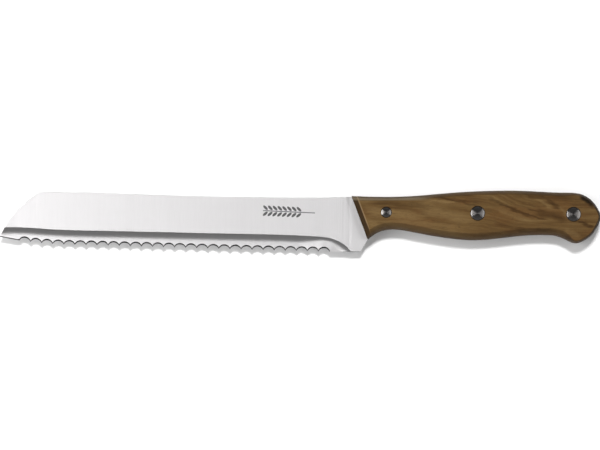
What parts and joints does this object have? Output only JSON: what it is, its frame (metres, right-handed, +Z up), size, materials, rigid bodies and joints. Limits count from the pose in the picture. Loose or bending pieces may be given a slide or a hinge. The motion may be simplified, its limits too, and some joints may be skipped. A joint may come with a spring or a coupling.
{
  "type": "bread knife",
  "caption": "Bread knife with a scalloped, hollow-ground steel blade, a full tang and a contoured wooden handle held by cutler's rivets.",
  "frame": {"origin": "centre of the knife's footprint, on the surface that the handle's lower side lies on", "axes": "+X from the tip to the butt, +Y from the cutting edge to the spine, +Z up through the thickness"},
  "size_m": [0.3263, 0.0342, 0.018],
  "materials": {
    "blade_steel": "satin, fine brush lines from the spine to the edge, with a smoother hollow grind above the teeth",
    "handle_wood": "oiled golden-brown hardwood, smooth, grain along the handle, with darker streaks and a small knot at the butt",
    "rivet_steel": "turned faces, slightly domed, with fine concentric lines"
  },
  "bodies": {
    "root": {"blade": "blade_steel", "upper_scale": "handle_wood", "lower_scale": "handle_wood", "front_rivet_pin": "rivet_steel", "front_rivet_tube": "rivet_steel", "middle_rivet_pin": "rivet_steel", "middle_rivet_tube": "rivet_steel", "rear_rivet_pin": "rivet_steel", "rear_rivet_tube": "rivet_steel"}
  },
  "joints": []
}
